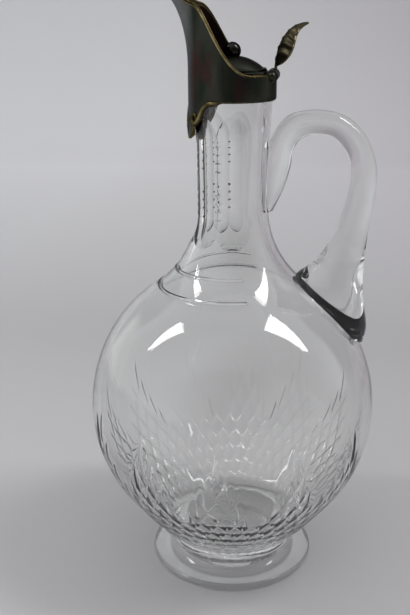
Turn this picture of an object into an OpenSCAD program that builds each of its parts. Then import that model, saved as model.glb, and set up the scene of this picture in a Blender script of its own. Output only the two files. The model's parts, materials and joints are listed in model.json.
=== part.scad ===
// Cut-glass claret jug with a hinged metal mount: a blown bowl and neck on an applied foot, a drawn
// glass handle, and a collar that carries a pouring beak and a thumb-lifted lid.
// Frame: origin at the centre of the foot's underside, +Z up, beak towards -X, handle towards +X.

/* [Bowl] */
// Largest radius of the bowl
bowl_r = 70; // [68:0.5:73]
// Height of the bowl's widest ring above the table
bowl_z = 84.5; // [83:0.5:87]
// Height that the bowl would still rise above its widest ring if it closed
bowl_rise = 72; // [70:0.5:74]
// Angle above the widest ring where the shoulder turns up into the neck
shoulder_angle = 57; // [55:0.5:59]
// Angle below the widest ring where the underside runs nearly straight
underside_angle = 36; // [34:0.5:38]
// Radius of the nearly straight underside's own curve
underside_r = 350; // [320:5:450]
// Wall of the bowl
bowl_wall = 4; // [3:0.25:5]
// Thickness of the glass at the bottom of the bowl
floor_t = 7; // [5:0.5:9]
// Radius of the rounded corner inside the bottom of the bowl
floor_corner_r = 14; // [10:1:18]

/* [Neck] */
// Radius of the neck at its narrowest
neck_r = 16.8; // [16.4:0.1:17.4]
// Wall of the neck
neck_wall = 3; // [2.6:0.1:3.4]
// Radius of the neck just under the collar
neck_top_r = 18.4; // [17.9:0.1:18.6]
// How far the neck is ground back for its seat inside the collar
seat_step = 0.9; // [0.6:0.1:1.2]

/* [Cut decoration] */
// Flat panels cut round the front of the neck
panel_count = 5; // [3:1:5]
// Angle that each panel spans
panel_angle = 48.4; // [44:0.4:48.4]
// Height of the straight part of a panel above the table
panel_z = 180; // [178:1:184]
// Length of the straight part of a panel
panel_length = 30; // [28:1:32]
// Radius of the rounded upper end of a panel
panel_top_r = 55; // [45:1:60]
// Radius of the rounded lower end of a panel
panel_bottom_r = 20; // [16:1:24]
// Place of the lower groove on the shoulder's curve, as an angle on that curve
groove_low_angle = 52; // [48:1:55]
// Place of the upper groove on the shoulder's curve, as an angle on that curve
groove_high_angle = 38; // [34:1:42]
// Radius of the wheel's edge that cuts the grooves
groove_r = 0.9; // [0.6:0.1:1.2]
// How far round from the beak each groove runs before the handle stops the wheel
groove_reach = 107; // [90:1:115]

/* [Foot] */
// Radius of the foot's rim
foot_r = 41.4; // [40:0.2:43]
// Height of the foot, where the bowl stands on it
foot_h = 11; // [10:0.5:12]
// Thickness of the foot's rounded rim
foot_rim_t = 3.6; // [3:0.2:4.4]
// Radius of the short waist between the foot and the bowl
foot_waist_r = 29.8; // [28:0.2:30.4]
// Radius of the polished hollow under the foot
foot_hollow_r = 21; // [18:0.5:26]
// Depth of that hollow
foot_hollow_h = 1.4; // [0.8:0.1:2]

/* [Handle] */
// Distance of the handle's outermost point from the jug's axis
handle_reach = 66; // [64:0.5:68]
// Height of the top of the handle's arch above the table
handle_top_z = 228.7; // [226:0.1:230]
// Half width of the handle's rod across its arch
rod_r = 5.6; // [5:0.1:6]
// Half width of the handle's lower end, where it is pressed on the shoulder
handle_root_w = 13; // [11:0.5:14]

/* [Collar] */
// Gap between the neck and the inside of the collar's lower edge
collar_gap = 0.35; // [0.25:0.05:0.5]
// Sheet thickness of the collar, the beak and the apron
sheet_t = 1.25; // [1.1:0.05:1.4]
// Height of the collar's lower edge above the table
collar_z = 233.4; // [232.5:0.1:234]
// Height of the collar
collar_h = 10.1; // [9.6:0.1:10.6]
// Radius of the half-round bead under the collar's lower edge
bead_r = 0.7; // [0.6:0.05:0.75]
// Thickness of the flat ring that closes the collar over the glass
seat_t = 1.5; // [1.2:0.1:1.8]
// How far that ring reaches in over the glass
mouth_overlap = 0.1; // [0:0.05:0.4]

/* [Beak] */
// Height of the beak's rim above the collar, on its flanks
beak_rise = 29.8; // [26:0.2:32]
// Further height of the lip above the flanks
lip_rise = 7.2; // [5:0.2:9]
// Height of the rim above the collar behind the beak
rim_low = 0.3; // [0.2:0.1:0.8]
// How far the lip reaches out past the collar
lip_reach = 13; // [10:0.5:15]
// Height above the collar's lower edge where the front starts to curve out
lip_start = 13.6; // [12:0.2:16]
// Half angle over which the lip is drawn out
lip_half_angle = 20; // [17:0.5:23]
// Angle from the beak where the rim starts to fall towards the lid
rim_fall_start = 35; // [30:1:40]
// Angle from the beak where the rim has come down to the collar
rim_fall_end = 125; // [118:1:130]
// Radius of the wire along the rim
wire_r = 0.8; // [0.7:0.05:1]

/* [Apron] */
// Depth of the apron under the beak at its middle
apron_h = 17.8; // [16:0.2:19]
// Half angle of the apron, where its edge runs into the collar
apron_half_angle = 82; // [78:1:86]
// Radius of the two mouldings along the apron's lower edge
moulding_r = 1.2; // [1:0.1:1.4]
// Angle from the beak at the middle of each moulding's scroll
scroll_angle = 40; // [38:0.5:43]
// Radius of the scroll that ends each moulding
scroll_r = 2.6; // [2.2:0.1:2.9]
// Length of the leaf on the middle of the apron
apron_leaf_h = 14.5; // [13:0.5:16]
// Half width of that leaf
apron_leaf_w = 8.6; // [7.5:0.1:9]
// How far that leaf stands proud of the apron
apron_leaf_t = 1; // [0.8:0.1:1.4]
// Film of solder under the leaf and the mouldings
solder_t = 0.05; // [0.02:0.01:0.1]

/* [Lid] */
// How far the lid's edge stays inside the collar's outside
lid_margin = 2; // [1.9:0.05:2.2]
// Thickness of the lid's plate
lid_t = 1.6; // [1.3:0.1:1.9]
// Gap between the closed lid and the ring under it
lid_gap = 0.3; // [0.25:0.05:0.4]
// Width of the flat ring that the lid's plate leaves round the dome
dome_margin = 2.6; // [2.4:0.1:3.2]
// Height of the dome above the plate
dome_h = 6.8; // [5.5:0.1:7.5]
// Sheet thickness of the dome
dome_t = 0.9; // [0.8:0.05:1.1]
// Radius of the ball on the lid
ball_r = 3.9; // [3.4:0.1:4.2]
// Height of the ball's middle above the dome
ball_lift = 1.9; // [1.5:0.1:2.4]
// Radius of the ball's screwed shank
shank_r = 1.2; // [1:0.05:1.4]
// Width across the flats of the nut inside the dome
nut_width = 5; // [4.5:0.1:5.5]
// Thickness of that nut
nut_t = 1.8; // [1.5:0.1:2.2]
// Depth of the locating rim under the lid
locating_h = 1.2; // [0.9:0.1:1.4]
// Side gap of the locating rim in the mouth
locating_gap = 0.4; // [0.3:0.05:0.6]
// Wall of the locating rim
locating_wall = 0.9; // [0.7:0.05:1]
// How far the lid's plate reaches in past the locating rim
plate_lap = 0.3; // [0.2:0.05:0.5]

/* [Hinge] */
// How far the hinge's axis stays inside the collar's outside
hinge_inset = 1.8; // [1.4:0.1:2]
// Radius of the hinge's barrel
barrel_r = 2.8; // [2.6:0.05:2.9]
// Length of the hinge's whole barrel
barrel_l = 17; // [15:0.5:18]
// Length of the lid's knuckle
knuckle_l = 8; // [7:0.25:8.5]
// Radius of the hinge pin
pin_r = 1.1; // [0.9:0.05:1.3]
// Radial running gap of the pin in the lid's knuckle
pin_gap = 0.05; // [0.03:0.01:0.08]
// Side gap between knuckles, and gap round the lid's knuckle
knuckle_gap = 0.3; // [0.25:0.05:0.4]
// Radius of the pin's domed heads
pin_head_r = 1.9; // [1.7:0.05:2.1]
// Thickness of the pin's heads
pin_head_t = 0.8; // [0.6:0.05:1]

/* [Thumbpiece] */
// How far the leaf reaches out from the hinge's axis
thumb_reach = 15.3; // [14:0.1:15.6]
// Height of the leaf's tip above the hinge's axis
thumb_h = 22.6; // [20:0.1:23.5]
// Half width of the leaf
thumb_w = 5.8; // [5:0.1:6.4]
// How far the leaf's edges droop below its midrib
thumb_droop = 4.2; // [3.6:0.1:4.6]
// Thickness of the leaf
thumb_t = 1.3; // [1.1:0.05:1.5]
// Half width of the stem that carries the leaf
stem_w = 1.5; // [1.2:0.1:1.8]

/* [Hidden] */

glass = [0.82, 0.86, 0.86, 0.45];
bronze = [0.27, 0.25, 0.2];
worn_brass = [0.55, 0.45, 0.24];
plaster = [0.85, 0.83, 0.78];
round_fn = 96;
arc_step = 6;

// Heights and radii that follow from the values above
neck_seat_r = neck_top_r - seat_step;
bore_top_r = neck_seat_r - neck_wall;
collar_in_r = neck_top_r + collar_gap;
collar_r = collar_in_r + sheet_t;
mouth_r = bore_top_r - mouth_overlap;
lid_r = collar_r - lid_margin;
dome_r = lid_r - dome_margin;
hinge_x = collar_r - hinge_inset;
collar_top = collar_z + collar_h;
ring_z = collar_top - seat_t;
// The glass stops short of the lid's knuckle, which hangs below the collar's top
glass_top = collar_top - barrel_r - knuckle_gap;
lid_z = collar_top + lid_gap;
lid_top = lid_z + lid_t;
hinge_z = collar_top;
lip_curve_h = beak_rise + lip_rise + collar_h - lip_start;

// The bowl's upper curve ends at the shoulder, where its slope is matched by the shoulder's arc
shoulder_pt = [bowl_r * cos(shoulder_angle), bowl_z + bowl_rise * sin(shoulder_angle)];
shoulder_slope = atan(bowl_r / bowl_rise * tan(shoulder_angle));
shoulder_r = (shoulder_pt.x - neck_r) / (1 - cos(shoulder_slope));
shoulder_c = [neck_r + shoulder_r, shoulder_pt.y + shoulder_r * sin(shoulder_slope)];
underside_c = [(bowl_r - underside_r) * cos(underside_angle),
               bowl_z + (underside_r - bowl_r) * sin(underside_angle)];
bowl_foot_angle = asin((underside_c.y - foot_h) / underside_r);
neck_sweep_z = shoulder_c.y;

function arc(c, r, a, b, n) = [for (i = [0:n]) c + r * [cos(a + (b - a) * i / n), sin(a + (b - a) * i / n)]];

// Radius of the neck's outside at a height above the shoulder
function neck_at(z) = neck_r + (neck_top_r - neck_r) * pow((z - neck_sweep_z) / (collar_z - neck_sweep_z), 2);

// Outside of bowl and neck, from the foot up, moved inwards by a wall
function bowl_side(wall) = concat(
    arc(underside_c, underside_r - wall, -bowl_foot_angle, -underside_angle, 3),
    arc([0, bowl_z], bowl_r - wall, -underside_angle + arc_step, 0, 5),
    [for (i = [1:10]) let (t = shoulder_angle * i / 10,
                          n = [cos(t) / bowl_r, sin(t) / bowl_rise])
        [bowl_r * cos(t), bowl_z + bowl_rise * sin(t)] - wall * n / norm(n)],
    arc(shoulder_c, shoulder_r + wall, 180 + shoulder_slope * 0.9, 180, 9));

function outer_side() = concat(
    bowl_side(0),
    [for (i = [1:6]) let (z = neck_sweep_z + (collar_z - neck_sweep_z) * i / 6) [neck_at(z), z]]);

// Inside of the bowl, from its floor up, with a rounded corner at the floor
floor_z = foot_h + floor_t;
corner_reach = underside_r - bowl_wall - floor_corner_r;
corner_angle = asin((underside_c.y - floor_z - floor_corner_r) / corner_reach);
corner_c = underside_c + corner_reach * [cos(corner_angle), -sin(corner_angle)];
shoulder_wall = (bowl_wall + neck_wall) / 2;
function inner_side() = concat(
    [[0, floor_z]],
    arc(corner_c, floor_corner_r, -90, -corner_angle, 6),
    arc(underside_c, underside_r - bowl_wall, -corner_angle + 0.5, -underside_angle, 2),
    arc([0, bowl_z], bowl_r - bowl_wall, -underside_angle + arc_step, 0, 5),
    [for (i = [1:10]) let (t = shoulder_angle * i / 10, w = bowl_wall + (shoulder_wall - bowl_wall) * i / 10,
                          n = [cos(t) / bowl_r, sin(t) / bowl_rise])
        [bowl_r * cos(t), bowl_z + bowl_rise * sin(t)] - w * n / norm(n)],
    [for (i = [1:9]) let (a = 180 + shoulder_slope * (1 - i / 9),
                          w = shoulder_wall + (neck_wall - shoulder_wall) * i / 9)
        shoulder_c + (shoulder_r + w) * [cos(a), sin(a)]],
    [[bore_top_r, glass_top]]);

// The outside revolved solid, which the handle is pressed against
module glass_outside() {
    rotate_extrude($fn = round_fn)
        polygon(concat([[0, foot_h]], outer_side(), [[0, collar_z]]));
}

// A wheel-cut panel: a straight flat with a rounded run-out at each end
module panel_cutter() {
    depth_x = neck_r * cos(panel_angle / 2);
    cut_w = 3 * neck_r;
    translate([-depth_x - panel_top_r, 0, panel_z + panel_length])
        rotate([90, 0, 0]) cylinder(r = panel_top_r, h = cut_w, center = true, $fn = round_fn);
    translate([-depth_x - panel_bottom_r, 0, panel_z])
        rotate([90, 0, 0]) cylinder(r = panel_bottom_r, h = cut_w, center = true, $fn = round_fn);
    translate([-depth_x - panel_bottom_r, -cut_w / 2, panel_z])
        cube([panel_bottom_r, cut_w, panel_length]);
}

module glass_body() {
    color(glass) difference() {
        rotate_extrude($fn = round_fn) polygon(concat(
            [[0, foot_h]], outer_side(),
            [[neck_seat_r, collar_z + sheet_t], [neck_seat_r, glass_top]],
            [for (p = [len(inner_side()) - 1:-1:0]) inner_side()[p]]));
        for (i = [0:panel_count - 1])
            rotate([0, 0, (i - (panel_count - 1) / 2) * panel_angle]) panel_cutter();
        for (a = [groove_low_angle, groove_high_angle])
            rotate([0, 0, 180 - groove_reach]) rotate_extrude(angle = 2 * groove_reach, $fn = round_fn)
                translate(shoulder_c - shoulder_r * [cos(a), sin(a)]) circle(r = groove_r, $fn = 24);
    }
}

module glass_foot() {
    rim_c = [foot_r - foot_rim_t / 2, foot_rim_t / 2];
    sweep_c = [foot_r - foot_rim_t / 2, foot_h];
    sweep = [sweep_c.x - foot_waist_r, foot_h - foot_rim_t];
    hollow_sphere_r = (pow(foot_hollow_r, 2) + pow(foot_hollow_h, 2)) / (2 * foot_hollow_h);
    color(glass) difference() {
        rotate_extrude($fn = round_fn) polygon(concat(
            [[0, 0]],
            arc(rim_c, foot_rim_t / 2, -90, 80, 8),
            [for (i = [1:8]) let (t = 90 * i / 8) sweep_c - [sweep.x * sin(t), sweep.y * cos(t)]],
            [[0, foot_h]]));
        translate([0, 0, foot_hollow_h - hollow_sphere_r]) sphere(r = hollow_sphere_r, $fn = round_fn);
    }
}

// Closed skin through equal rings of points, each an even count, capped at both ends by strips
module skin(rings) {
    n = len(rings[0]);
    m = len(rings);
    last = (m - 1) * n;
    points = [for (ring = rings) each ring];
    sides = [for (i = [0:m - 2], j = [0:n - 1]) let (a = i * n + j, b = i * n + (j + 1) % n)
             each [[a, b + n, b], [a, a + n, b + n]]];
    caps = [for (j = [0:n / 2 - 2]) each [[j, j + 1, n - 2 - j, n - 1 - j],
             [last + n - 1 - j, last + n - 2 - j, last + j + 1, last + j]]];
    polyhedron(points, concat(sides, caps), convexity = 8);
}

// Value between the stations of a table along a smooth curve through them
function between(table, u) = let (
    k = min(floor(u), len(table) - 2), t = u - k,
    p0 = table[max(k - 1, 0)], p1 = table[k], p2 = table[k + 1], p3 = table[min(k + 2, len(table) - 1)])
    0.5 * (2 * p1 + t * (p2 - p0) + t * t * (2 * p0 - 5 * p1 + 4 * p2 - p3)
           + t * t * t * (3 * p1 - p0 - 3 * p2 + p3));

// Stations of the handle, from its upper end on the neck over the arch to its root on the shoulder:
// x and z of the outer edge, x and z of the inner edge, and the half width as shares of rod and root.
// They are drawn for a handle that reaches drawn_reach out and drawn_top up, and stretched to its sizes.
drawn_reach = 66;
drawn_top = 228.7;
handle_stretch = [handle_reach / drawn_reach, handle_top_z / drawn_top];
handle_stations = [
    [14.5, 180.5, 19, 182.2, 0.3, 0],
    [14, 192, 24, 192.5, 0.85, 0],
    [14.6, 204, 27, 203, 1.05, 0],
    [18.4, 217, 28.2, 210.6, 1.03, 0],
    [25.5, 226, 32, 215.8, 1, 0],
    [38, 228.7, 38.8, 217.7, 1, 0],
    [51, 226, 46.4, 216.2, 1, 0],
    [61, 216.6, 52.6, 209, 1, 0],
    [66, 203, 54.4, 200.5, 1.02, 0.02],
    [65.8, 188, 53, 188.6, 1.02, 0.08],
    [63.6, 172, 47.6, 172.4, 0.9, 0.25],
    [62.4, 156, 41.5, 161.4, 0.55, 0.55],
    [63, 141, 36, 155.8, 0.2, 0.87],
    [65, 127, 31.5, 152.6, 0, 1],
    [63.5, 119, 27.5, 146, 0, 1.02]];
handle_steps = 3;
handle_sides = 24;
module glass_handle() {
    rings = [for (i = [0:handle_steps * (len(handle_stations) - 1)])
        let (s = between(handle_stations, i / handle_steps),
             outer = [s[0] * handle_stretch.x, s[1] * handle_stretch.y],
             inner = [s[2] * handle_stretch.x, s[3] * handle_stretch.y],
             c = (outer + inner) / 2, h = (outer - inner) / 2,
             w = s[4] * rod_r + s[5] * handle_root_w)
        [for (j = [0:handle_sides - 1]) let (a = 360 * (j + 0.5) / handle_sides)
            [c.x + h.x * cos(a), w * sin(a), c.y + h.y * cos(a)]]];
    color(glass) difference() {
        skin(rings);
        glass_outside();
    }
}

// Room in the collar for the hinge: close round the fixed knuckles, open round the lid's knuckle and the
// heads of the pin
module hinge_room() {
    head_room_l = barrel_l + 2 * (pin_head_t + knuckle_gap);
    translate([hinge_x, 0, hinge_z]) rotate([90, 0, 0]) {
        cylinder(r = barrel_r, h = barrel_l, center = true, $fn = round_fn);
        cylinder(r = barrel_r + knuckle_gap, h = knuckle_l + 2 * knuckle_gap, center = true, $fn = round_fn);
        cylinder(r = pin_head_r + knuckle_gap, h = head_room_l, center = true, $fn = round_fn);
    }
}

// Plaster bed that holds the collar on the neck and covers the rim of the glass
module neck_cement() {
    color(plaster) difference() {
        rotate_extrude($fn = round_fn)
            polygon([[neck_seat_r, collar_z + sheet_t], [collar_in_r, collar_z + sheet_t],
                     [collar_in_r, ring_z], [bore_top_r, ring_z],
                     [bore_top_r, glass_top], [neck_seat_r, glass_top]]);
        hinge_room();
    }
}

module collar() {
    color(bronze) difference() {
        rotate_extrude($fn = round_fn)
            translate([collar_in_r, collar_z]) square([sheet_t, collar_h]);
        hinge_room();
    }
}

// Half-round bead under the back of the collar, between the ends of the apron
module collar_bead() {
    color(worn_brass) rotate([0, 0, 180 + apron_half_angle])
        rotate_extrude(angle = 360 - 2 * apron_half_angle, $fn = round_fn)
            intersection() {
                translate([collar_r - bead_r, collar_z]) circle(r = bead_r, $fn = 32);
                translate([collar_r - 2 * bead_r, collar_z - bead_r]) square([2 * bead_r, bead_r]);
            }
}

// Flat ring inside the collar's top that covers the glass and seats the lid
module mouth_ring() {
    color(bronze) difference() {
        rotate_extrude($fn = round_fn)
            translate([mouth_r, ring_z]) square([collar_in_r - mouth_r, seat_t]);
        hinge_room();
    }
}

// Place on the mount: an angle round from the beak, a radius and a height
function round_beak(a, r, z) = [-r * cos(a), -r * sin(a), z];
function bell(a, half) = exp(-pow(a / half, 2));
fall_power = 1.5;
function fall(a) = let (t = (min(max(abs(a), rim_fall_start), rim_fall_end) - rim_fall_start)
                            / (rim_fall_end - rim_fall_start)) pow((1 + cos(180 * t)) / 2, fall_power);
function rim_z(a) = collar_top + rim_low + (beak_rise - rim_low) * fall(a)
                    + lip_rise * bell(a, lip_half_angle);
// The lip's front follows a quarter ellipse that would run on a little past its tip
lip_overrun = 1.01;
lip_ellipse_r = lip_reach / (1 - sqrt(1 - pow(lip_overrun, -2)));
function lip_out(z) = let (t = min(max((z - collar_z - lip_start) / (lip_curve_h * lip_overrun), 0), 1))
    lip_ellipse_r * (1 - sqrt(1 - t * t));
function beak_r(a, z) = collar_r + lip_out(z) * bell(a, lip_half_angle);

// The beak: a lofted shell on the collar's front, drawn out to the lip at its middle
beak_half_angle = 146;
beak_step = 4;
beak_rows = 8;
row_crowding = 1.5;
module beak() {
    rings = [for (a = [-beak_half_angle:beak_step:beak_half_angle])
        let (top = rim_z(a),
             heights = [for (i = [0:beak_rows])
                 collar_top + (top - collar_top) * (1 - pow(1 - i / beak_rows, row_crowding))])
        concat([for (z = heights) round_beak(a, beak_r(a, z), z)],
               [for (i = [beak_rows:-1:0]) round_beak(a, beak_r(a, heights[i]) - sheet_t, heights[i])])];
    color(bronze) skin(rings);
}

// Ring of points round a path's point, square to its direction
function ring_about(p, dir, r, sides) = let (
    d = dir / norm(dir), u0 = cross(d, [0, 0, 1]), u = u0 / norm(u0), v = cross(u, d))
    [for (j = [0:sides - 1]) let (a = 360 * (j + 0.5) / sides) p + r * (cos(a) * u + sin(a) * v)];
module tube(path, r, sides) {
    n = len(path);
    skin([for (i = [0:n - 1])
        ring_about(path[i], path[min(i + 1, n - 1)] - path[max(i - 1, 0)], r, sides)]);
}

// The wire is bedded a little way onto the sheet's edge
wire_steps = 56;
wire_bed = 0.9;
module rim_wire() {
    path = [for (i = [0:wire_steps]) let (a = beak_half_angle * (2 * i / wire_steps - 1))
        round_beak(a, beak_r(a, rim_z(a)) - sheet_t / 2, rim_z(a) + wire_r * wire_bed)];
    color(worn_brass) tube(path, wire_r, 8);
}

// Depth of the apron below the collar, as shares of its greatest depth, by angle from the beak
apron_edge = [[0, 1], [0.17, 0.99], [0.29, 0.93], [0.38, 0.76], [0.44, 0.62], [0.52, 0.54],
              [0.58, 0.48], [0.63, 0.35], [0.7, 0.15], [0.8, 0.05], [1, 0.02]];
function apron_drop(a) = apron_h * lookup(abs(a) / apron_half_angle, apron_edge);
apron_steps = 40;
module apron() {
    rings = [for (i = [0:apron_steps])
        let (a = apron_half_angle * (2 * i / apron_steps - 1), z = collar_z - apron_drop(a))
        [round_beak(a, collar_r, z), round_beak(a, collar_r, collar_z),
         round_beak(a, collar_in_r, collar_z), round_beak(a, collar_in_r, z)]];
    color(bronze) skin(rings);
}

// Radius at which a strip can lie on the apron without its flat back cutting into the curve, if each
// flat stretch of that back spans this many millimetres
function on_solder(flat) = collar_r / cos(flat / collar_r * 90 / PI) + solder_t;

// Each half-round moulding follows the apron's edge from the collar in to its scroll, which closes inwards
moulding_steps = 14;
scroll_steps = 14;
scroll_turns = 0.95;
scroll_closing = 0.72;
moulding_taper = 0.6;
function on_apron(p, r) = round_beak(p.x / collar_r * 180 / PI, r, p.y);
module apron_moulding() {
    scroll_c = [collar_r * scroll_angle * PI / 180, collar_z - apron_drop(scroll_angle) + scroll_r];
    edge = [for (i = [0:moulding_steps - 1])
        let (a = apron_half_angle + (scroll_angle - apron_half_angle) * i / moulding_steps)
        [collar_r * a * PI / 180, collar_z - apron_drop(a), moulding_r]];
    scroll = [for (i = [0:scroll_steps]) let (t = i / scroll_steps, a = -90 - 360 * scroll_turns * t,
                                              r = scroll_r * (1 - scroll_closing * t))
        [scroll_c.x + r * cos(a), scroll_c.y + r * sin(a), moulding_r * (1 - moulding_taper * t)]];
    run = concat(edge, scroll);
    n = len(run);
    rings = [for (i = [0:n - 1]) let (
        d = run[min(i + 1, n - 1)] - run[max(i - 1, 0)], across = [-d.y, d.x] / norm([d.x, d.y]))
        [for (j = [0:7]) let (a = 180 * j / 7, e = run[i][2] * cos(a))
            on_apron([run[i].x, run[i].y] + e * across, on_solder(2 * moulding_r) + run[i][2] * sin(a))]];
    color(worn_brass) for (side = [0, 1]) mirror([0, side, 0]) skin(rings);
}

// The leaf on the middle of the apron: shouldered, blunt-tipped and ridged down its middle
leaf_rows = 12;
leaf_shape = [[0, 0.16], [0.1, 0.62], [0.22, 0.88], [0.35, 1], [0.5, 0.93], [0.65, 0.8], [0.8, 0.66],
              [0.92, 0.46], [1, 0.12]];
// Shares of the leaf's thickness and half width: the ridge at its ends, and the flanks beside the ridge
ridge_at_ends = 0.35;
flank_place = 0.55;
flank_height = 0.75;
module apron_leaf() {
    top = collar_z - apron_h + apron_leaf_h;
    back = on_solder(apron_leaf_w / 2);
    rings = [for (i = [0:leaf_rows]) let (
        t = i / leaf_rows, z = top - apron_leaf_h * t, w = apron_leaf_w * lookup(t, leaf_shape),
        a = w / collar_r * 180 / PI,
        ridge = apron_leaf_t * (ridge_at_ends + (1 - ridge_at_ends) * sin(180 * t)),
        flank = back + flank_height * ridge)
        [round_beak(-a, back, z), round_beak(-flank_place * a, flank, z), round_beak(0, back + ridge, z),
         round_beak(flank_place * a, flank, z), round_beak(a, back, z), round_beak(a / 2, back, z),
         round_beak(0, back, z), round_beak(-a / 2, back, z)]];
    color(worn_brass) skin(rings);
}

module barrel_piece(y0, length, hole_r) {
    translate([hinge_x, y0 + length, hinge_z]) rotate([90, 0, 0]) difference() {
        cylinder(r = barrel_r, h = length, $fn = round_fn);
        translate([0, 0, -1]) cylinder(r = hole_r, h = length + 2, $fn = round_fn);
    }
}

module hinge_knuckles() {
    outer_l = (barrel_l - knuckle_l) / 2 - knuckle_gap;
    color(bronze) {
        barrel_piece(-barrel_l / 2, outer_l, pin_r);
        barrel_piece(barrel_l / 2 - outer_l, outer_l, pin_r);
    }
}

module hinge_pin() {
    color(worn_brass) translate([hinge_x, 0, hinge_z]) rotate([90, 0, 0]) {
        cylinder(r = pin_r, h = barrel_l + 2 * pin_head_t, center = true, $fn = round_fn);
        translate([0, 0, barrel_l / 2]) cylinder(r1 = pin_head_r, r2 = pin_r, h = pin_head_t, $fn = round_fn);
        translate([0, 0, -barrel_l / 2 - pin_head_t])
            cylinder(r1 = pin_r, r2 = pin_head_r, h = pin_head_t, $fn = round_fn);
    }
}

// The lid's plate: a ring under the dome, cut straight in front of the hinge, with a tongue to the knuckle
locating_r = mouth_r - locating_gap;
plate_hole_r = locating_r - locating_wall - plate_lap;
module lid_plate() {
    chord_x = hinge_x - barrel_r - knuckle_gap;
    color(bronze) difference() {
        translate([0, 0, lid_z]) cylinder(r = lid_r, h = lid_t, $fn = round_fn);
        translate([0, 0, lid_z - 1]) cylinder(r = plate_hole_r, h = lid_t + 2, $fn = round_fn);
        for (side = [-1, 1])
            translate([chord_x, side > 0 ? knuckle_l / 2 : -lid_r - knuckle_l / 2, lid_z - 1])
                cube([lid_r, lid_r, lid_t + 2]);
        translate([hinge_x, 0, hinge_z]) rotate([90, 0, 0])
            cylinder(r = barrel_r, h = knuckle_l + 1, center = true, $fn = round_fn);
        translate([hinge_x, -lid_r, lid_z - 1]) cube([lid_r, 2 * lid_r, lid_t + 2]);
    }
}

// The dome is part of a sphere
dome_top = lid_top + dome_h;
dome_sphere_r = (dome_r * dome_r + dome_h * dome_h) / (2 * dome_h);
module lid_dome() {
    color(bronze) translate([0, 0, lid_top]) difference() {
        rotate_extrude($fn = round_fn) intersection() {
            difference() {
                translate([0, dome_h - dome_sphere_r]) circle(r = dome_sphere_r, $fn = 128);
                translate([0, dome_h - dome_sphere_r]) circle(r = dome_sphere_r - dome_t, $fn = 128);
            }
            square([dome_r, dome_h]);
        }
        translate([0, 0, -1]) cylinder(r = shank_r, h = dome_h + 2, $fn = round_fn);
    }
}

module lid_locating_rim() {
    rim_h = locating_h + lid_gap;
    color(bronze) translate([0, 0, lid_z - rim_h]) difference() {
        cylinder(r = locating_r, h = rim_h, $fn = round_fn);
        translate([0, 0, -1]) cylinder(r = locating_r - locating_wall, h = rim_h + 2, $fn = round_fn);
    }
}

module lid_knuckle() {
    color(bronze) barrel_piece(-knuckle_l / 2, knuckle_l, pin_r + pin_gap);
}

// The nut's corners bear on the inside of the dome
nut_corner_r = nut_width / 2 / cos(30);
nut_top = dome_top - dome_sphere_r + sqrt(pow(dome_sphere_r - dome_t, 2) - pow(nut_corner_r, 2));

// Ball, hollowed below to sit on the dome, with the shank that passes through the dome
shank_end = 0.6;
shank_bedding = 0.4;
module lid_ball() {
    shank_bottom = nut_top - nut_t - shank_end;
    color(bronze) {
        difference() {
            translate([0, 0, dome_top + ball_lift]) sphere(r = ball_r, $fn = round_fn);
            translate([0, 0, dome_top - dome_sphere_r]) sphere(r = dome_sphere_r, $fn = round_fn);
        }
        translate([0, 0, shank_bottom])
            cylinder(r = shank_r, h = dome_top + shank_bedding - shank_bottom, $fn = round_fn);
    }
}

module lid_nut() {
    color(worn_brass) translate([0, 0, nut_top - nut_t]) difference() {
        cylinder(r = nut_corner_r, h = nut_t, $fn = 6);
        translate([0, 0, -1]) cylinder(r = shank_r, h = nut_t + 2, $fn = round_fn);
    }
}

// The thumbpiece: a leaf arched across its midrib, on a stem that stands on the lid's knuckle
thumb_rows = 14;
thumb_start = 0.12;
thumb_lobes = 3.5;
thumb_lobe_depth = 0.06;
// Where the midrib starts beside the hinge's axis and how high, as a share of the barrel's radius
thumb_root_x = 0.6;
thumb_root_share = 0.7;
// Powers that bend the midrib out towards its tip and carry its widest part down towards the stem
lean_power = 2.1;
rise_power = 0.92;
open_power = 0.8;
// Shares of the stem's width and of the thickness that are lost towards the tip
stem_taper = 0.85;
thumb_thinning = 0.4;
direction_step = 0.02;
function midrib(t) = let (root_z = barrel_r * thumb_root_share)
    [hinge_x + thumb_root_x + (thumb_reach - thumb_root_x) * pow(t, lean_power),
     hinge_z + root_z + (thumb_h - root_z) * sin(90 * pow(t, rise_power))];
module thumbpiece() {
    rings = [for (i = [0:thumb_rows]) let (
        t = i / thumb_rows, p = midrib(t),
        run = midrib(min(t + direction_step, 1)) - midrib(max(t - direction_step, 0)),
        down = [run.y, -run.x] / norm(run),
        leaf = max((t - thumb_start) / (1 - thumb_start), 0),
        open = sin(180 * pow(leaf, open_power)),
        lobes = 1 + thumb_lobe_depth * cos(360 * thumb_lobes * leaf),
        w = stem_w * (1 - leaf * stem_taper) + thumb_w * open * lobes,
        fallen = thumb_droop * open, t_here = thumb_t * (1 - thumb_thinning * leaf))
        concat(
            [for (k = [-1:0.5:1]) let (o = p + down * fallen * k * k) [o.x, w * k, o.y]],
            [for (k = [1:-0.5:-1]) let (o = p + down * (fallen * k * k + t_here)) [o.x, w * k, o.y]])];
    color(bronze) difference() {
        skin(rings);
        translate([hinge_x, 0, hinge_z]) rotate([90, 0, 0])
            cylinder(r = barrel_r, h = knuckle_l + 1, center = true, $fn = round_fn);
    }
}

glass_body();
glass_foot();
glass_handle();
neck_cement();
collar();
collar_bead();
mouth_ring();
beak();
rim_wire();
apron();
apron_moulding();
apron_leaf();
hinge_knuckles();
hinge_pin();
lid_plate();
lid_dome();
lid_locating_rim();
lid_knuckle();
lid_ball();
lid_nut();
thumbpiece();
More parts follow.
